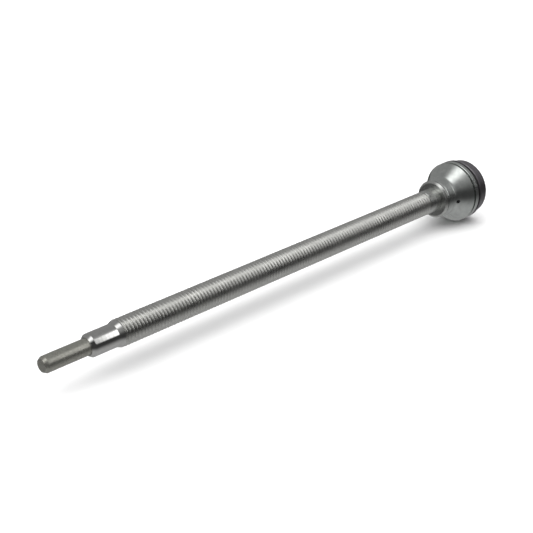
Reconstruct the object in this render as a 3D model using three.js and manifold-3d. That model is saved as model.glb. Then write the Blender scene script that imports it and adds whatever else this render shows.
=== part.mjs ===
// Threaded forcing spindle with a swivelling pressure head.
// Millimetres. The spindle's axis is X; the head's flat pressure face is the plane x = 0
// and faces +X, and the nose with its pilot pin points along -X.
import * as THREE from 'three';
import Module from 'manifold-3d';

const wasm = await Module();
wasm.setup();
const { Manifold, Mesh } = wasm;

// ---- driving dimensions (x stations are measured from the pressure face) ----
const THREAD_R = 6.0;          // M12 major radius
const THREAD_ROOT_R = 4.93;    // M12 x 1.75 minor radius
const PITCH = 1.75;
const THREAD_SEG = 12;         // facets per turn of the thread
const X_LEAD_START = -234.3;   // plain lead-in cone between nose and thread
const X_LEAD_END = -231.9;
const LEAD_R = 5.95;
const X_THREAD_START = -231.8; // where the thread comes out of the cone
const X_THREAD_END = -35.8;    // start of the plain shank
const SHANK_R = 5.95;          // plain shank between thread and collar
const X_SHANK_END = -28.4;

const STEP_R = 5.04;           // polished stepped nose
const STEP_FACE_R = 3.95;
const X_STEP_FULL = -246.1;
const X_STEP_START = -247.6;
const PIN_R = 3.6;             // pilot pin
const PIN_CHAMFER = [1.4, 0.8]; // along and across
const X_PIN_TIP = -269.0;
const X_PIN_ROOT = -238.5;     // inner end of the pin in its bore
const PIN_BORE_R = 3.66;
const X_PIN_BORE_END = -238.0;

const JOURNAL_R = 5.0;         // carries the thrust collar
const X_JOURNAL_END = -26.9;
const PIVOT_R = 4.0;           // carries bearing and bush
const X_PIVOT_END = -16.9;
const TAPPED_R = 2.15;         // M5 hole in the spindle's end
const X_TAPPED_END = -25.5;

const COLLAR_BORE_R = 5.08;
const COLLAR_R = 9.65;
const COLLAR_NOSE_R = 7.9;
const X_COLLAR_FACE = -28.3;   // flat shoulder that faces the nose
const X_COLLAR_BACK = -27.1;
const X_COLLAR_END = -26.95;
const DIMPLE = [-35.1, 0.55, 41]; // small drilled mark on the shank: station, radius, degrees about X from +Z

const FLANGE_R = 15.3;
const NECK_R = 9.7;
const X_HEAD_START = -26.7;
const X_FLANGE_END = -13.0;
const CAVITY_R = 8.15;
const WEB_LEFT = -21.5;
const WEB_RIGHT = -17.2;
const BUSH_OUT_R = 5.6;
const BUSH_IN_R = 4.08;
const GRUB_R = 0.85;           // M2 grub screw that locks the pivot bush
const GRUB_HOLE_R = 0.92;
const X_GRUB = -20.3;
const GRUB_TURN = 92.6;        // degrees about X from +Z

const RACE_OUT_R = 7.95;       // thrust bearing 8 x 16 x 5
const SHAFT_RACE_OUT_R = 7.7;
const BALL_R = 1.0;
const BALL_PCD_R = 6.0;
const BALLS = 9;
const X_RACE1 = [-26.8, -25.3];
const X_BALL = -24.2;
const X_RACE2 = [-23.1, -21.6];

const RING_IN_R = 11.85;       // closing ring: a raised band with a groove on each side
const GROOVE_R = 13.2;         // floor of both grooves
const X_RING_BODY = [-12.92, -8.08];
const X_RING = [-11.7, -9.3];
const PLATE_R = 14.08;         // the smaller end ring
const PLATE_FACE_R = 11.35;
const X_PLATE_FLANGE = [-8.0, -7.1];
const PLATE_RECESS_R = 7.6;    // clears the retaining washer and screw
const X_RECESS_END = -11.8;
const SPIGOT_R = 11.7;
const X_SPIGOT = -15.6;
const X_SNAP = [-15.0, -14.2];
const HEAD_BORE_R = 11.9;

// ---- materials ----
const steel = (c, r, m = 0.9) => new THREE.MeshStandardMaterial({ color: c, roughness: r, metalness: m });
const M = {
  thread_steel: steel(0xa3a69f, 0.28),
  pin_steel: steel(0x6f7062, 0.55, 0.7),
  head_steel: steel(0x9fa39b, 0.22),
  face_steel: steel(0x5f5961, 0.5, 0.8),
  race_steel: steel(0xb9bcc0, 0.15),
  ball_steel: steel(0xd4d6d8, 0.08),
  brass: steel(0xb08d4c, 0.35),
  bronze: steel(0x9a6f42, 0.4),
  black_steel: steel(0x2a2b2c, 0.45, 0.6),
  rubber: steel(0x161616, 0.85, 0.0),
};

// ---- helpers ----
function fromArrays(pos, idx) {
  // outward faces: a negative enclosed volume means the triangles are inside out
  let v = 0;
  for (let i = 0; i < idx.length; i += 3) {
    const [a, b, c] = [idx[i] * 3, idx[i + 1] * 3, idx[i + 2] * 3];
    v += pos[a] * (pos[b + 1] * pos[c + 2] - pos[b + 2] * pos[c + 1])
       - pos[a + 1] * (pos[b] * pos[c + 2] - pos[b + 2] * pos[c])
       + pos[a + 2] * (pos[b] * pos[c + 1] - pos[b + 1] * pos[c]);
  }
  if (v < 0) for (let i = 0; i < idx.length; i += 3) [idx[i + 1], idx[i + 2]] = [idx[i + 2], idx[i + 1]];
  const g = new THREE.BufferGeometry();
  g.setAttribute('position', new THREE.Float32BufferAttribute(pos, 3));
  g.setIndex(idx);
  return g;
}

// A solid of revolution about X from a closed [x, r] profile. Points with r = 0 lie on the axis.
function turned(profile, seg = 32) {
  const pos = [], idx = [], first = [], axis = [];
  for (const [x, r] of profile) {
    first.push(pos.length / 3);
    axis.push(r === 0);
    if (r === 0) { pos.push(x, 0, 0); continue; }
    for (let j = 0; j < seg; j++) {
      const a = (j / seg) * Math.PI * 2;
      pos.push(x, r * Math.cos(a), r * Math.sin(a));
    }
  }
  const n = profile.length;
  for (let k = 0; k < n; k++) {
    const m = (k + 1) % n;
    if (axis[k] && axis[m]) continue;
    for (let j = 0; j < seg; j++) {
      const j2 = (j + 1) % seg;
      const a = first[k] + j, b = first[k] + j2, c = first[m] + j, d = first[m] + j2;
      if (axis[k]) idx.push(first[k], c, d);
      else if (axis[m]) idx.push(a, first[m], b);
      else idx.push(a, c, b, b, c, d);
    }
  }
  return fromArrays(pos, idx);
}

const solid = (g) => new Manifold(new Mesh({
  numProp: 3,
  vertProperties: new Float32Array(g.attributes.position.array),
  triVerts: new Uint32Array(g.index.array),
}));
function geometryOf(m) {
  const mesh = m.getMesh();
  const g = new THREE.BufferGeometry();
  const np = mesh.numProp, out = new Float32Array((mesh.vertProperties.length / np) * 3);
  for (let i = 0; i < out.length / 3; i++) for (let k = 0; k < 3; k++) out[i * 3 + k] = mesh.vertProperties[i * np + k];
  g.setAttribute('position', new THREE.BufferAttribute(out, 3));
  g.setIndex(new THREE.BufferAttribute(new Uint32Array(mesh.triVerts), 1));
  return g;
}
// A radial round bar from z0 to z1 at station x, turned about X by the given degrees from +Z
function radialBar(x, r, z0, z1, turn, seg = 12) {
  return solid(turned([[z0, 0], [z0, r], [z1, r], [z1, 0]], seg)
    .rotateY(-Math.PI / 2).translate(x, 0, 0).rotateX(THREE.MathUtils.degToRad(turn)));
}

// Right-hand 60 degree thread as one closed helical solid, with its ends running to the axis.
function threadSolid(x0, x1) {
  const turnsPast = 2;
  const K = Math.ceil(((x1 - x0) / PITCH + turnsPast) * 2);
  const pos = [], idx = [];
  const per = K + 1;
  for (let i = 0; i < THREAD_SEG; i++) {
    const a = (i / THREAD_SEG) * Math.PI * 2;
    for (let k = 0; k <= K; k++) {
      const r = k % 2 === 0 ? THREAD_R : THREAD_ROOT_R;
      const x = x0 - PITCH * 1.5 + (k * PITCH) / 2 + (i / THREAD_SEG) * PITCH;
      pos.push(x, r * Math.cos(a), r * Math.sin(a));
    }
  }
  const at = (i, k) => (i < THREAD_SEG ? i * per + k : k + 2);
  for (let i = 0; i < THREAD_SEG; i++) {
    const kEnd = i === THREAD_SEG - 1 ? K - 2 : K;
    for (let k = 0; k < kEnd; k++) {
      const a = at(i, k), b = at(i, k + 1), c = at(i + 1, k), d = at(i + 1, k + 1);
      idx.push(a, b, c, b, d, c);
    }
  }
  const cap = (ring, x) => {
    const c = pos.length / 3;
    pos.push(x, 0, 0);
    for (let j = 0; j < ring.length; j++) idx.push(c, ring[j], ring[(j + 1) % ring.length]);
  };
  const left = [];
  left.push(at(0, 0));
  for (let i = 1; i < THREAD_SEG; i++) left.push(at(i, 0));
  left.push(at(0, 2), at(0, 1));
  cap(left, x0 - PITCH * 0.5);
  // the last strip stops two stations early, so its far edge is walked back to the first row
  const r2 = [];
  r2.push(at(0, K));
  for (let i = 1; i < THREAD_SEG; i++) r2.push(at(i, K));
  r2.push(at(THREAD_SEG - 1, K - 1), at(THREAD_SEG - 1, K - 2));
  r2.reverse();
  cap(r2, x0 - PITCH * 1.5 + (K * PITCH) / 2 + PITCH * 0.2);
  return { pos, idx };
}

const group = new THREE.Group();
group.name = 'forcing_spindle';
function add(name, geometry, material) {
  geometry.computeVertexNormals();
  const mesh = new THREE.Mesh(geometry, material);
  mesh.name = name;
  group.add(mesh);
  return mesh;
}

// ---- spindle ----
const th = threadSolid(X_LEAD_START, X_THREAD_END);
const threadRaw = solid(fromArrays(th.pos, th.idx));
// envelope that trims the thread square at both ends
const envelope = solid(turned([
  [X_THREAD_START, 0], [X_THREAD_START, 6.4], [X_THREAD_END, 6.4], [X_THREAD_END, 0]], THREAD_SEG * 2));
const core = solid(turned([
  [X_STEP_START, 0], [X_STEP_START, STEP_FACE_R], [X_STEP_FULL, STEP_R],
  [X_LEAD_START, STEP_R], [X_LEAD_END, LEAD_R], [X_LEAD_END + 0.3, 4.6],
  [X_THREAD_END - 1.4, 4.6], [X_THREAD_END - 0.3, SHANK_R], [X_SHANK_END, SHANK_R], [X_SHANK_END, JOURNAL_R],
  [X_JOURNAL_END, JOURNAL_R], [X_JOURNAL_END, PIVOT_R], [X_PIVOT_END - 0.5, PIVOT_R],
  [X_PIVOT_END, PIVOT_R - 0.5], [X_PIVOT_END, 0]], 32));
const pinBore = solid(turned([
  [X_STEP_START - 1, 0], [X_STEP_START - 1, PIN_BORE_R], [X_PIN_BORE_END, PIN_BORE_R], [X_PIN_BORE_END + 1.6, 0]], 24));
const tapped = solid(turned([
  [X_TAPPED_END - 1.1, 0], [X_TAPPED_END, TAPPED_R], [X_PIVOT_END + 1, TAPPED_R], [X_PIVOT_END + 1, 0]], 16));
const spindle = threadRaw.intersect(envelope).add(core).subtract(pinBore).subtract(tapped)
  .subtract(radialBar(DIMPLE[0], DIMPLE[1], 5.4, 7, DIMPLE[2], 10));
add('spindle', geometryOf(spindle), M.thread_steel);

// ---- pilot pin ----
add('pilot_pin', turned([
  [X_PIN_TIP, 0], [X_PIN_TIP, PIN_R - PIN_CHAMFER[1]], [X_PIN_TIP + PIN_CHAMFER[0], PIN_R],
  [X_PIN_ROOT - 0.6, PIN_R], [X_PIN_ROOT, PIN_R - 0.4], [X_PIN_ROOT, 0]], 24), M.pin_steel);

// ---- thrust collar ----
add('thrust_collar', turned([
  [X_COLLAR_FACE, COLLAR_BORE_R], [X_COLLAR_FACE, 8.6], [X_COLLAR_FACE + 0.85, 9.6], [X_COLLAR_FACE + 1.0, COLLAR_R], [X_COLLAR_BACK, COLLAR_R], [X_COLLAR_BACK, COLLAR_NOSE_R],
  [X_COLLAR_END, COLLAR_NOSE_R], [X_COLLAR_END, COLLAR_BORE_R]], 36), M.head_steel);

// ---- swivelling head ----
const headProfile = [
  [X_HEAD_START, CAVITY_R], [X_HEAD_START, NECK_R], [-21.6, 9.8], [-20.4, 10.15], [-18.7, 11.5],
  [-16.95, 12.7], [-15.1, 13.95], [-13.9, 14.8], [X_FLANGE_END - 0.2, FLANGE_R], [X_FLANGE_END, FLANGE_R - 0.2],
  [X_FLANGE_END, HEAD_BORE_R], [X_SNAP[1] + 0.1, HEAD_BORE_R], [X_SNAP[1] + 0.1, 12.7], [X_SNAP[0] - 0.1, 12.7],
  [X_SNAP[0] - 0.1, HEAD_BORE_R], [-15.9, HEAD_BORE_R], [-16.2, 10.6], [WEB_RIGHT, 10.6],
  [WEB_RIGHT, BUSH_OUT_R + 0.08], [WEB_LEFT, BUSH_OUT_R + 0.08], [WEB_LEFT, CAVITY_R]];
add('head_housing', geometryOf(solid(turned(headProfile, 40)).subtract(radialBar(X_GRUB, GRUB_HOLE_R, 5.9, 14, GRUB_TURN))), M.head_steel);
const grubSolid = solid(turned([[6.1, 0], [6.1, GRUB_R - 0.3], [6.4, GRUB_R], [9.85, GRUB_R], [9.95, GRUB_R - 0.1], [9.95, 0]], 12)
  .rotateY(-Math.PI / 2).translate(X_GRUB, 0, 0).rotateX(THREE.MathUtils.degToRad(GRUB_TURN)));
add('head_grub_screw', geometryOf(grubSolid.subtract(radialBar(X_GRUB, 0.45, 9.1, 12, GRUB_TURN, 6))), M.black_steel);

// flat rubber dust seal between the collar and the head
add('wiper_ring', turned([
  [-27.04, 8.0], [-27.04, 9.4], [-26.76, 9.4], [-26.76, 8.0]], 36), M.rubber);

// ---- thrust bearing ----
add('shaft_washer', turned([
  [X_RACE1[0], PIVOT_R + 0.08], [X_RACE1[0], SHAFT_RACE_OUT_R - 0.2], [X_RACE1[0] + 0.2, SHAFT_RACE_OUT_R], [X_RACE1[1], SHAFT_RACE_OUT_R],
  [X_RACE1[1], BALL_PCD_R + 0.7], [X_RACE1[1] - 0.2, BALL_PCD_R], [X_RACE1[1], BALL_PCD_R - 0.7],
  [X_RACE1[1], PIVOT_R + 0.08]], 32), M.race_steel);
add('housing_washer', turned([
  [X_RACE2[0], PIVOT_R + 0.4], [X_RACE2[0], BALL_PCD_R - 0.7], [X_RACE2[0] + 0.2, BALL_PCD_R], [X_RACE2[0], BALL_PCD_R + 0.7],
  [X_RACE2[0], RACE_OUT_R], [X_RACE2[1] - 0.2, RACE_OUT_R], [X_RACE2[1], RACE_OUT_R - 0.2], [X_RACE2[1], PIVOT_R + 0.4]], 32), M.race_steel);
let cage = solid(turned([
  [X_BALL - 0.35, PIVOT_R + 0.4], [X_BALL - 0.35, RACE_OUT_R - 0.2], [X_BALL + 0.35, RACE_OUT_R - 0.2], [X_BALL + 0.35, PIVOT_R + 0.4]], 27));
for (let i = 0; i < BALLS; i++) {
  const a = (i / BALLS) * Math.PI * 2;
  const y = BALL_PCD_R * Math.cos(a), z = BALL_PCD_R * Math.sin(a);
  cage = cage.subtract(solid(turned([[-2, 0], [-2, BALL_R + 0.12], [2, BALL_R + 0.12], [2, 0]], 10).translate(X_BALL, y, z)));
  add('ball_' + (i + 1), new THREE.IcosahedronGeometry(BALL_R, 1), M.ball_steel).position.set(X_BALL, y, z);
}
add('ball_cage', geometryOf(cage), M.brass);

// ---- pivot bush, retaining washer and screw ----
add('pivot_bush', turned([
  [WEB_LEFT + 0.1, BUSH_IN_R], [WEB_LEFT + 0.1, BUSH_OUT_R - 0.2], [WEB_LEFT + 0.3, BUSH_OUT_R], [WEB_RIGHT - 0.1, BUSH_OUT_R],
  [WEB_RIGHT - 0.1, BUSH_IN_R]], 32), M.bronze);
add('retaining_washer', turned([
  [-16.8, 2.75], [-16.8, 7.2], [-15.6, 7.2], [-15.6, 2.75]], 28), M.black_steel);
const screw = solid(turned([
  [-24.0, 0], [-24.0, 1.6], [-23.5, 2.05], [-15.5, 2.05], [-15.5, 4.2], [-12.8, 4.2], [-12.5, 3.9], [-12.5, 0]], 16))
  .subtract(solid(turned([[-14.4, 0], [-14.4, 1.75], [-11, 1.75], [-11, 0]], 6)));
add('retaining_screw', geometryOf(screw), M.black_steel);

// ---- front closure: ring, plate and snap ring ----
add('closing_ring', turned([
  [X_RING_BODY[0], RING_IN_R], [X_RING_BODY[0], GROOVE_R], [X_RING[0], GROOVE_R], [X_RING[0], FLANGE_R - 0.25],
  [X_RING[0] + 0.25, FLANGE_R], [X_RING[1] - 0.25, FLANGE_R], [X_RING[1], FLANGE_R - 0.25], [X_RING[1], GROOVE_R],
  [X_RING_BODY[1], GROOVE_R], [X_RING_BODY[1], RING_IN_R]], 40), M.head_steel);
add('pressure_plate', turned([
  [X_SPIGOT, PLATE_RECESS_R], [X_SPIGOT, SPIGOT_R - 0.3], [X_SPIGOT + 0.3, SPIGOT_R], [X_SNAP[0] - 0.1, SPIGOT_R], [X_SNAP[0] - 0.1, 10.9],
  [X_SNAP[1] + 0.1, 10.9], [X_SNAP[1] + 0.1, SPIGOT_R], [X_PLATE_FLANGE[0], SPIGOT_R], [X_PLATE_FLANGE[0], FLANGE_R - 0.2],
  [X_PLATE_FLANGE[0] + 0.2, FLANGE_R], [X_PLATE_FLANGE[1] - 0.1, FLANGE_R], [X_PLATE_FLANGE[1], FLANGE_R - 0.15],
  [X_PLATE_FLANGE[1], PLATE_R], [-1.6, PLATE_R], [-0.5, 12.9], [0, PLATE_FACE_R], [0, 0],
  [X_RECESS_END, 0], [X_RECESS_END, PLATE_RECESS_R]], 40), M.face_steel);
add('snap_ring', turned([
  [X_SNAP[0], 11.0], [X_SNAP[0], 12.6], [X_SNAP[1], 12.6], [X_SNAP[1], 11.0]], 36), M.black_steel);

export default group;
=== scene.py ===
import math

import bmesh
import bpy
from mathutils import Matrix, Vector


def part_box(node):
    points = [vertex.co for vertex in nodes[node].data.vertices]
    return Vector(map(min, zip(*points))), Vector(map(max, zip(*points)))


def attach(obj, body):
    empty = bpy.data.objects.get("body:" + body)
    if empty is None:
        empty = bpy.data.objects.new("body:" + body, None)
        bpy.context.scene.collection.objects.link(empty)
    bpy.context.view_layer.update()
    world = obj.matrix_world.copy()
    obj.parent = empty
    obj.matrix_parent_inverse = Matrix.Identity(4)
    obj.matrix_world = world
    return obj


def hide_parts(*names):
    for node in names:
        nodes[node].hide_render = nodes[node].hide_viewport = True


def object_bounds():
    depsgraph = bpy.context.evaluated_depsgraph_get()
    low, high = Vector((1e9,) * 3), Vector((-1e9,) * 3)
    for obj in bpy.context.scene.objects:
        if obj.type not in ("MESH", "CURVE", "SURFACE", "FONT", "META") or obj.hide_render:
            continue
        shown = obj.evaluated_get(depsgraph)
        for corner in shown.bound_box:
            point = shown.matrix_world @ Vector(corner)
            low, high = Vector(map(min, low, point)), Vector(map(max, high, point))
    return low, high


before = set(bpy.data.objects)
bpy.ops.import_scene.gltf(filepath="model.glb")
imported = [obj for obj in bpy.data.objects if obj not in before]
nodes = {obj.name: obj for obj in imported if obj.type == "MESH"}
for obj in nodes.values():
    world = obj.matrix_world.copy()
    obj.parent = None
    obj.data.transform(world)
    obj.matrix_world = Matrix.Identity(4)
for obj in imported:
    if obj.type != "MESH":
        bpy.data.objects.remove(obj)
cad_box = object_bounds()
MM = 0.001
scene = bpy.context.scene

# ------------------------------------------------------------------ stations, from the frame
X_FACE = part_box("pressure_plate")[1].x / MM
X_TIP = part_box("pilot_pin")[0].x / MM
THREAD_R, ROOT_R, PITCH = 6.0, 4.93, 1.75
X_LEAD0 = -234.3
X_TH0, X_TH1 = -231.8, -35.8


# ------------------------------------------------------------------ mesh helpers
def fillet(points, steps=5):
    """points: (x, r) or (x, r, radius). Rounds each corner that has a radius."""
    out = []
    n = len(points)
    for i, p in enumerate(points):
        rad = p[2] if len(p) > 2 else 0.0
        c = Vector((p[0], p[1]))
        if rad <= 0 or i == 0 or i == n - 1:
            out.append((c.x, c.y))
            continue
        a = Vector(points[i - 1][:2]) - c
        b = Vector(points[i + 1][:2]) - c
        la, lb = a.length, b.length
        a.normalize()
        b.normalize()
        ang = math.acos(max(-1, min(1, a.dot(b))))
        if ang > math.pi - 0.02 or ang < 0.02:
            out.append((c.x, c.y))
            continue
        t = min(rad / math.tan(ang / 2), 0.48 * la, 0.48 * lb)
        rad = t * math.tan(ang / 2)
        m = (a + b).normalized()
        centre = c + m * (rad / math.sin(ang / 2))
        s, e = c + a * t - centre, c + b * t - centre
        sweep = s.angle_signed(e) if s.length and e.length else 0
        for k in range(steps + 1):
            v = s.copy()
            v.rotate(Matrix.Rotation(-sweep * k / steps, 2))
            out.append((centre.x + v.x, centre.y + v.y))
    return out


def lathe_into(bm, profile, seg):
    """One closed turned body about X. A point with r = 0 lies on the axis; other profiles close on themselves."""
    rings = []
    for x, r in profile:
        if r < 1e-6:
            rings.append([bm.verts.new((x * MM, 0, 0))])
        else:
            rings.append([bm.verts.new((x * MM, r * MM * math.cos(2 * math.pi * j / seg), r * MM * math.sin(2 * math.pi * j / seg))) for j in range(seg)])
    n = len(rings)
    for k in range(n):
        a, b = rings[k], rings[(k + 1) % n]
        if len(a) == 1 and len(b) == 1:
            continue
        for j in range(seg):
            j2 = (j + 1) % seg
            if len(a) == 1:
                bm.faces.new((a[0], b[j], b[j2]))
            elif len(b) == 1:
                bm.faces.new((a[j], b[0], a[j2]))
            else:
                bm.faces.new((a[j], b[j], b[j2], a[j2]))


def finish_mesh(bm, name, mat, sharp=38):
    bmesh.ops.remove_doubles(bm, verts=bm.verts, dist=1e-7)
    bmesh.ops.recalc_face_normals(bm, faces=bm.faces)
    me = bpy.data.meshes.new(name)
    bm.to_mesh(me)
    bm.free()
    for p in me.polygons:
        p.use_smooth = True
    me.set_sharp_from_angle(angle=math.radians(sharp))
    me.materials.append(mat)
    ob = bpy.data.objects.new(name, me)
    scene.collection.objects.link(ob)
    return ob


def turned(name, points, mat, seg=128, sharp=38, steps=5):
    bm = bmesh.new()
    lathe_into(bm, fillet(points, steps), seg)
    return finish_mesh(bm, name, mat, sharp)


def radial_cutter(x, r, z0, z1, turn, seg=32, taper=0.0):
    bm = bmesh.new()
    prof = [(z0, 0), (z0, r), (z1, r), (z1 + 0.001, r + taper), (z1 + 0.6, r + taper), (z1 + 0.6, 0)] if taper else [(z0, 0), (z0, r), (z1, r), (z1, 0)]
    lathe_into(bm, prof, seg)
    bm.transform(Matrix.Rotation(math.radians(turn), 4, "X") @ Matrix.Translation((x * MM, 0, 0)) @ Matrix.Rotation(-math.pi / 2, 4, "Y"))
    bmesh.ops.recalc_face_normals(bm, faces=bm.faces)
    me = bpy.data.meshes.new("cutter")
    bm.to_mesh(me)
    bm.free()
    ob = bpy.data.objects.new("cutter", me)
    scene.collection.objects.link(ob)
    return ob


def cut(ob, cutter):
    mod = ob.modifiers.new("cut", "BOOLEAN")
    mod.operation = "DIFFERENCE"
    mod.solver = "EXACT"
    mod.object = cutter
    bpy.context.view_layer.update()
    dg = bpy.context.evaluated_depsgraph_get()
    me = bpy.data.meshes.new_from_object(ob.evaluated_get(dg))
    ob.modifiers.clear()
    old = ob.data
    ob.data = me
    me.name = old.name + "_cut"
    for p in me.polygons:
        p.use_smooth = True
    me.set_sharp_from_angle(angle=math.radians(38))
    bpy.data.objects.remove(cutter)


# ------------------------------------------------------------------ materials
def metal(name, base, dark, rough, rough_var=0.05, mottle=900.0, lines=0.0, line_pitch=0.25, bump=0.08, crease_shade=0.0, metallic=1.0):
    """Turned metal: base and dark are mixed by fine mottling, with faint lathe lines round the axis, and an optional
    painted shade darkens concave creases.
    """
    m = bpy.data.materials.new(name)
    m.use_nodes = True
    nt = m.node_tree
    n, l = nt.nodes, nt.links
    bsdf = n["Principled BSDF"]
    bsdf.inputs["Metallic"].default_value = metallic
    bsdf.inputs["Specular IOR Level"].default_value = 0.5
    tc = n.new("ShaderNodeTexCoord")
    noise = n.new("ShaderNodeTexNoise")
    noise.inputs["Scale"].default_value = mottle
    noise.inputs["Detail"].default_value = 5.0
    noise.inputs["Roughness"].default_value = 0.6
    l.new(tc.outputs["Object"], noise.inputs["Vector"])
    ramp = n.new("ShaderNodeValToRGB")
    ramp.color_ramp.elements[0].position = 0.34
    ramp.color_ramp.elements[1].position = 0.62
    ramp.color_ramp.elements[0].color = (*dark, 1)
    ramp.color_ramp.elements[1].color = (*base, 1)
    l.new(noise.outputs["Fac"], ramp.inputs["Fac"])
    colour = ramp.outputs["Color"]
    # painted shade: base colour darkened in concave creases (low pointiness), such as thread roots and inner corners
    if crease_shade > 0:
        geo = n.new("ShaderNodeNewGeometry")
        gr = n.new("ShaderNodeMapRange")
        gr.inputs["From Min"].default_value = 0.44
        gr.inputs["From Max"].default_value = 0.50
        gr.inputs["To Min"].default_value = 1.0 - crease_shade
        gr.inputs["To Max"].default_value = 1.0
        l.new(geo.outputs["Pointiness"], gr.inputs["Value"])
        mul = n.new("ShaderNodeMix")
        mul.data_type = "RGBA"
        mul.blend_type = "MULTIPLY"
        mul.inputs[0].default_value = 1.0
        l.new(colour, mul.inputs[6])
        l.new(gr.outputs["Result"], mul.inputs[7])
        colour = mul.outputs[2]
    l.new(colour, bsdf.inputs["Base Color"])
    big = n.new("ShaderNodeTexNoise")
    big.inputs["Scale"].default_value = 110.0
    big.inputs["Detail"].default_value = 3.0
    l.new(tc.outputs["Object"], big.inputs["Vector"])
    rr = n.new("ShaderNodeMapRange")
    rr.inputs["From Min"].default_value = 0.3
    rr.inputs["From Max"].default_value = 0.7
    rr.inputs["To Min"].default_value = max(0.02, rough - rough_var)
    rr.inputs["To Max"].default_value = rough + rough_var
    l.new(big.outputs["Fac"], rr.inputs["Value"])
    l.new(rr.outputs["Result"], bsdf.inputs["Roughness"])
    height = noise.outputs["Fac"]
    if lines > 0:
        wave = n.new("ShaderNodeTexWave")
        wave.wave_type = "BANDS"
        wave.bands_direction = "X"
        wave.inputs["Scale"].default_value = 1000.0 / line_pitch / 20.0
        wave.inputs["Distortion"].default_value = 1.5
        wave.inputs["Detail"].default_value = 2.0
        wave.inputs["Detail Scale"].default_value = 2.0
        l.new(tc.outputs["Object"], wave.inputs["Vector"])
        mix = n.new("ShaderNodeMix")
        mix.data_type = "FLOAT"
        mix.inputs[0].default_value = lines
        l.new(noise.outputs["Fac"], mix.inputs[2])
        l.new(wave.outputs["Fac"], mix.inputs[3])
        height = mix.outputs[0]
    b = n.new("ShaderNodeBump")
    b.inputs["Strength"].default_value = bump
    b.inputs["Distance"].default_value = 0.00004
    l.new(height, b.inputs["Height"])
    l.new(b.outputs["Normal"], bsdf.inputs["Normal"])
    return m


# thread steel: painted shade darkens the thread roots and inner corners by up to a quarter
thread_mat = metal("thread_steel_mat", (0.70, 0.70, 0.675), (0.61, 0.61, 0.585), 0.28, 0.05, 700, 0.3, 0.3, 0.06, crease_shade=0.25)
nose_mat = metal("polished_nose_mat", (0.66, 0.66, 0.65), (0.60, 0.60, 0.58), 0.11, 0.03, 500, 0.5, 0.3, 0.05)
pin_mat = metal("matt_pin_mat", (0.38, 0.378, 0.342), (0.29, 0.287, 0.255), 0.29, 0.04, 1400, 0.15, 0.3, 0.2, metallic=0.82)
head_mat = metal("polished_head_mat", (0.64, 0.665, 0.645), (0.56, 0.58, 0.565), 0.24, 0.04, 420, 0.5, 0.35, 0.08)
collar_mat = metal("collar_steel_mat", (0.64, 0.65, 0.63), (0.56, 0.57, 0.55), 0.26, 0.04, 420, 0.4, 0.35, 0.08)
face_mat = metal("dark_face_mat", (0.34, 0.322, 0.345), (0.26, 0.245, 0.263), 0.38, 0.05, 900, 0.5, 0.4, 0.15)
race_mat = metal("ground_race_mat", (0.72, 0.73, 0.75), (0.62, 0.63, 0.65), 0.14, 0.03, 800, 0.6, 0.2, 0.06)
ball_mat = metal("bearing_ball_mat", (0.82, 0.83, 0.84), (0.76, 0.77, 0.78), 0.05, 0.02, 600, 0.0, 0.3, 0.01)
brass_mat = metal("cage_brass_mat", (0.78, 0.58, 0.28), (0.62, 0.44, 0.19), 0.30, 0.06, 800, 0.3, 0.3, 0.12)
bronze_mat = metal("bush_bronze_mat", (0.62, 0.40, 0.22), (0.46, 0.28, 0.14), 0.36, 0.07, 1200, 0.4, 0.3, 0.15)
black_mat = metal("black_oxide_mat", (0.10, 0.10, 0.105), (0.045, 0.045, 0.05), 0.38, 0.08, 1100, 0.0, 0.3, 0.2, metallic=0.9)
rubber_mat = metal("seal_rubber_mat", (0.022, 0.022, 0.022), (0.012, 0.012, 0.012), 0.62, 0.08, 1500, 0.0, 0.3, 0.4, metallic=0.0)


# ------------------------------------------------------------------ spindle: rolled thread, nose, journal
def thread_profile(u):
    """Radius at fraction u of a pitch: flat crest, 60 degree flanks, rounded root."""
    u = u % 1.0
    d = min(u, 1 - u)
    half_crest, root_start = 0.0625, 0.385
    if d <= half_crest:
        return THREAD_R - 0.02 * (d / half_crest) ** 2
    if d < root_start:
        k = (d - half_crest) / (root_start - half_crest)
        return (THREAD_R - 0.02) + (ROOT_R + 0.07 - THREAD_R + 0.02) * k
    k = (d - root_start) / (0.5 - root_start)
    return ROOT_R + 0.07 * (1 - k * k) * (1 - k)


def thread_body(bm):
    seg = 48
    stations = (0.0, 0.06, 0.10, 0.375, 0.43, 0.5, 0.57, 0.625, 0.90, 0.94)
    m = len(stations)
    start = X_LEAD0 - 1.5 * PITCH
    turns = int(math.ceil((X_TH1 + 1.0 - start) / PITCH)) + 1
    rows = []
    total = turns * m + 1
    for j in range(seg):
        ph = 2 * math.pi * j / seg
        row = []
        for k in range(total):
            u = k // m + stations[k % m]
            x = start + (u + j / seg) * PITCH
            r = thread_profile(u)
            row.append(bm.verts.new((x * MM, r * MM * math.cos(ph), r * MM * math.sin(ph))))
        rows.append(row)

    def at(j, k):
        return rows[j][k] if j < seg else rows[0][k + m]

    for j in range(seg):
        last = total - 1 if j < seg - 1 else total - 1 - m
        for k in range(last):
            bm.faces.new((at(j, k), at(j, k + 1), at(j + 1, k + 1), at(j + 1, k)))
    # square ends: cut on two planes and close with flat faces
    for x, sign in ((X_TH0, -1), (X_TH1, 1)):
        geom = bm.verts[:] + bm.edges[:] + bm.faces[:]
        res = bmesh.ops.bisect_plane(bm, geom=geom, plane_co=(x * MM, 0, 0), plane_no=(sign, 0, 0), clear_outer=True)
        edges = [e for e in res["geom_cut"] if isinstance(e, bmesh.types.BMEdge)]
        verts = sorted({v for e in edges for v in e.verts}, key=lambda v: math.atan2(v.co.z, v.co.y))
        c = bm.verts.new((x * MM, 0, 0))
        for e in edges:
            bm.faces.new((e.verts[0], e.verts[1], c))


bm = bmesh.new()
thread_body(bm)
bmesh.ops.recalc_face_normals(bm, faces=bm.faces)
spindle = finish_mesh(bm, "spindle_thread", thread_mat, 34)

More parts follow.
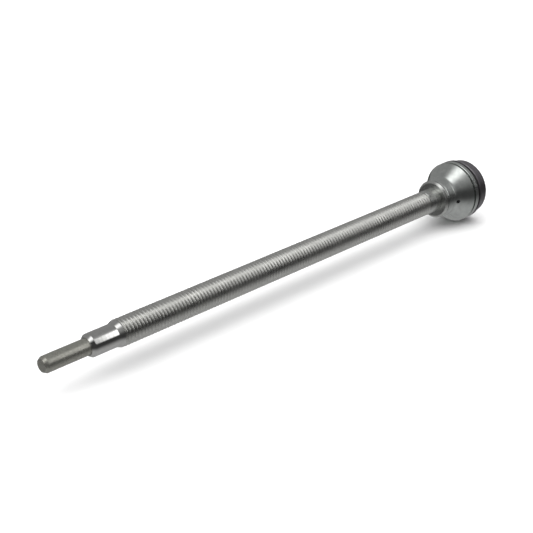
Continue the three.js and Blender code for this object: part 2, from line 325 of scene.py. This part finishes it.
nose = turned("spindle_nose", [(-247.6, 3.66), (-247.6, 3.95, 0.1), (-246.1, 5.04, 0.45), (X_LEAD0, 5.04, 0.35), (-231.95, 5.93, 0.2), (-231.75, 5.35), (-231.75, 0),
                               (-238.0, 0), (-238.0, 3.66)], nose_mat, 160)
journal = turned("spindle_journal", [(-36.6, 0), (-36.6, 4.4), (-35.85, 5.3), (-35.85, 5.75, 0.05), (-35.6, 5.95, 0.2), (-28.4, 5.95, 0.1), (-28.4, 5.0),
                                     (-26.9, 5.0, 0.15), (-26.9, 4.0, 0.1), (-17.4, 4.0, 0.1),
                                     (-16.9, 3.5), (-16.9, 2.15), (-25.5, 2.15), (-26.6, 0)], collar_mat, 128)
cut(journal, radial_cutter(-35.1, 0.55, 5.4, 7, 41))
pin = turned("pilot_pin_ground", [(X_TIP, 0), (X_TIP, 2.8, 0.15), (X_TIP + 1.4, 3.6, 0.4), (-239.1, 3.6, 0.2),
                                  (-238.5, 3.2), (-238.5, 0)], pin_mat, 128)

# ------------------------------------------------------------------ neck collar
collar = turned("neck_collar", [(-28.3, 5.1), (-28.3, 8.6, 0.1), (-27.45, 9.6, 0.1), (-27.1, 9.64, 0.08), (-27.1, 7.9, 0.05),
                                (-26.96, 7.9, 0.05), (-26.96, 5.1)], collar_mat, 160)

# ------------------------------------------------------------------ head
head_pts = [(-26.7, 8.15), (-26.7, 9.62, 0.12), (-26.2, 9.7, 0.3), (-21.6, 9.8, 1.5), (-20.4, 10.15, 1.2), (-18.7, 11.5, 4.0),
            (-16.95, 12.75, 3.0), (-15.2, 14.0, 3.0), (-13.9, 14.85, 1.2), (-13.2, 15.3, 0.3), (-13.0, 15.15, 0.06), (-13.0, 11.9), (-14.1, 11.9),
            (-14.1, 12.7), (-15.1, 12.7), (-15.1, 11.9), (-15.9, 11.9), (-16.2, 10.6, 0.2), (-17.2, 10.6, 0.3), (-17.2, 5.68, 0.1),
            (-21.5, 5.68, 0.1), (-21.5, 8.15, 0.2)]
head = turned("head_shell", head_pts, head_mat, 176)
cut(head, radial_cutter(-20.3, 0.92, 5.9, 14, 92.6))
ring = turned("closing_band", [(-12.92, 11.85), (-12.92, 13.2, 0.05), (-11.7, 13.2, 0.15), (-11.7, 15.1, 0.1), (-11.45, 15.3, 0.2), (-9.55, 15.3, 0.2), (-9.3, 15.1, 0.1),
                               (-9.3, 13.2, 0.15), (-8.08, 13.2, 0.05), (-8.08, 11.85)], head_mat, 176)
plate = turned("pressure_plate_turned", [(-15.6, 7.6, 0.1), (-15.6, 11.4, 0.1), (-15.3, 11.7, 0.1), (-15.1, 11.7), (-15.1, 10.9), (-14.1, 10.9), (-14.1, 11.7),
                                         (-8.0, 11.7), (-8.0, 15.1, 0.1), (-7.8, 15.3, 0.12), (-7.2, 15.3, 0.1), (-7.1, 15.15, 0.06), (-7.1, 14.08, 0.15),
                                         (-1.7, 14.08, 0.9), (-0.5, 12.9, 1.0), (X_FACE, 11.35, 0.5), (X_FACE, 0), (-11.8, 0), (-11.8, 7.6, 0.3)], face_mat, 176)
seal = turned("wiper_seal", [(-27.04, 8.0, 0.05), (-27.04, 9.4, 0.1), (-26.76, 9.4, 0.1), (-26.76, 8.0, 0.05)], rubber_mat, 144)

# ------------------------------------------------------------------ bearing and retention inside the head
groove = [(-25.3 - 0.2 * math.sin(math.pi * k / 10), 6.0 + 0.7 * math.cos(math.pi * k / 10)) for k in range(11)]
race1 = turned("shaft_race", [(-26.8, 4.08, 0.1), (-26.8, 7.5), (-26.6, 7.7, 0.1), (-25.3, 7.7, 0.1)] + groove + [(-25.3, 4.08)], race_mat, 96)
groove2 = [(-23.1 + 0.2 * math.sin(math.pi * k / 10), 6.0 - 0.7 * math.cos(math.pi * k / 10)) for k in range(11)]
race2 = turned("housing_race", [(-23.1, 4.4)] + groove2 + [(-23.1, 7.95, 0.1), (-21.8, 7.95, 0.1), (-21.6, 7.75), (-21.6, 4.4)], race_mat, 96)
bush = turned("bronze_bush", [(-21.4, 4.08, 0.1), (-21.4, 5.4), (-21.2, 5.6, 0.1), (-17.3, 5.6, 0.1), (-17.3, 4.08, 0.1)], bronze_mat, 96)
washer = turned("keeper_washer", [(-16.8, 2.75, 0.1), (-16.8, 7.2, 0.15), (-15.6, 7.2, 0.15), (-15.6, 2.75, 0.1)], black_mat, 96)

for k in range(1, 10):
    lo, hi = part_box("ball_%d" % k)
    c = (lo + hi) / 2
    r = (hi.x - lo.x) / 2
    bm = bmesh.new()
    bmesh.ops.create_icosphere(bm, subdivisions=4, radius=r * 0.999, matrix=Matrix.Translation(c))
    b = finish_mesh(bm, "bearing_ball_%d" % k, ball_mat, 60)
    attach(b, "cage")
    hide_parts("ball_%d" % k)

for ob, body, repl, slot in (
    (spindle, "screw", "spindle", "thread_steel"), (nose, "screw", None, "thread_steel"), (journal, "screw", None, "thread_steel"),
    (pin, "screw", "pilot_pin", "pin_steel"), (collar, "screw", "thrust_collar", "head_steel"), (race1, "screw", "shaft_washer", "race_steel"),
    (washer, "screw", "retaining_washer", "black_steel"), (head, "head", "head_housing", "head_steel"),
    (ring, "head", "closing_ring", "head_steel"), (plate, "head", "pressure_plate", "face_steel"), (seal, "head", "wiper_ring", "rubber"),
    (race2, "head", "housing_washer", "race_steel"), (bush, "head", "pivot_bush", "bronze"),
):
    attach(ob, body)
    if repl:
        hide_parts(repl)

for node, mat in (("head_grub_screw", black_mat), ("retaining_screw", black_mat), ("snap_ring", black_mat), ("ball_cage", brass_mat)):
    for s in nodes[node].material_slots:
        s.material = mat

# ------------------------------------------------------------------ floor
floor_mat = bpy.data.materials.new("pale_floor_mat")
floor_mat.use_nodes = True
fn = floor_mat.node_tree.nodes
fl = floor_mat.node_tree.links
fb = fn["Principled BSDF"]
fb.inputs["Roughness"].default_value = 0.9
fb.inputs["Specular IOR Level"].default_value = 0.1
fnoise = fn.new("ShaderNodeTexNoise")
fnoise.inputs["Scale"].default_value = 30.0
framp = fn.new("ShaderNodeValToRGB")
framp.color_ramp.elements[0].color = (0.93, 0.93, 0.93, 1)
framp.color_ramp.elements[1].color = (0.95, 0.95, 0.95, 1)
fl.new(fnoise.outputs["Fac"], framp.inputs["Fac"])
fl.new(framp.outputs["Color"], fb.inputs["Base Color"])
floor_z = cad_box[0][2] - 0.0003
bm = bmesh.new()
bmesh.ops.create_grid(bm, x_segments=2, y_segments=2, size=60.0, matrix=Matrix.Translation((0, 0, floor_z)))
me = bpy.data.meshes.new("floor")
bm.to_mesh(me)
bm.free()
me.materials.append(floor_mat)
floor = bpy.data.objects.new("floor", me)
scene.collection.objects.link(floor)
floor.visible_glossy = False

# ------------------------------------------------------------------ studio surroundings: what the metal reflects
world = bpy.data.worlds.new("studio")
scene.world = world
world.use_nodes = True
wn, wl = world.node_tree.nodes, world.node_tree.links
wn.clear()
wtc = wn.new("ShaderNodeTexCoord")
sep = wn.new("ShaderNodeSeparateXYZ")
wl.new(wtc.outputs["Generated"], sep.inputs[0])


def step(axis, lo, hi, invert=False):
    mr = wn.new("ShaderNodeMapRange")
    mr.interpolation_type = "SMOOTHSTEP"
    mr.inputs["From Min"].default_value = lo
    mr.inputs["From Max"].default_value = hi
    mr.inputs["To Min"].default_value = 1.0 if invert else 0.0
    mr.inputs["To Max"].default_value = 0.0 if invert else 1.0
    wl.new(sep.outputs[axis], mr.inputs["Value"])
    return mr.outputs["Result"]


def op(kind, a, b):
    m = wn.new("ShaderNodeMath")
    m.operation = kind
    for i, v in enumerate((a, b)):
        if isinstance(v, (int, float)):
            m.inputs[i].default_value = v
        else:
            wl.new(v, m.inputs[i])
    return m.outputs[0]


def mul(*parts):
    out = parts[0]
    for p in parts[1:]:
        out = op("MULTIPLY", out, p)
    return out


def add(*parts):
    out = parts[0]
    for p in parts[1:]:
        out = op("ADD", out, p)
    return out


below = mul(step("Z", -0.80, -0.14, True), add(mul(step("X", -0.90, -0.60), 0.19), 0.22))
back = mul(step("Z", -0.24, -0.10), step("Y", -0.20, 0.10), 0.30)
front = mul(step("Y", -0.20, 0.10, True), add(mul(step("Z", 0.15, 0.85), step("X", -0.62, -0.44), 0.30), 0.05))
left = mul(step("X", -0.93, -0.78, True), step("Z", -0.04, 0.32), 1.25)
softbox = mul(step("Z", 0.20, 0.34), step("Z", 0.74, 0.86, True), step("X", 0.455, 0.51), step("X", 0.55, 0.62, True), step("Y", -0.22, -0.10, True), 2.3)
overhead = mul(step("Z", 0.50, 0.75), step("X", 0.0, 0.30, True), step("Y", -0.52, -0.06), step("Y", 0.02, 0.46, True), 1.42)
bg = wn.new("ShaderNodeBackground")
wout = wn.new("ShaderNodeOutputWorld")
wl.new(add(below, back, front, left, softbox, overhead), bg.inputs["Color"])
bg.inputs["Strength"].default_value = 1.0
wl.new(bg.outputs[0], wout.inputs[0])

# soft light that brightens the floor; it isn't seen in the metal
key_data = bpy.data.lights.new("key", "SUN")
key_data.angle = math.radians(104)
key_data.energy = 2.95
key = bpy.data.objects.new("key", key_data)
key.location = (-0.1, 0.3, 2.4)
key.rotation_euler = (Vector((-0.13, 0, 0)) - key.location).to_track_quat("-Z", "Y").to_euler()
key.visible_glossy = False
scene.collection.objects.link(key)

# ------------------------------------------------------------------ camera
az, el = math.radians(-45.0), math.radians(25.0)
back_v = Vector((math.sin(az) * math.cos(el), -math.cos(az) * math.cos(el), math.sin(el)))
right_v = Vector((math.cos(az), math.sin(az), 0))
up_v = back_v.cross(right_v)
DIST = 0.5488
target = Vector((-0.1465, 0, 0)) + right_v * (-0.00053) + up_v * 0.00140
cam_data = bpy.data.cameras.new("camera")
cam_data.sensor_width = 36.0
cam_data.lens = 83.1
cam_data.clip_start = 0.01
cam_data.clip_end = 50.0
cam = bpy.data.objects.new("camera", cam_data)
cam.location = target + back_v * DIST
cam.rotation_euler = Matrix((right_v, up_v, back_v)).transposed().to_euler()
scene.collection.objects.link(cam)
scene.camera = cam
scene.view_settings.view_transform = "Standard"
scene.view_settings.look = "None"
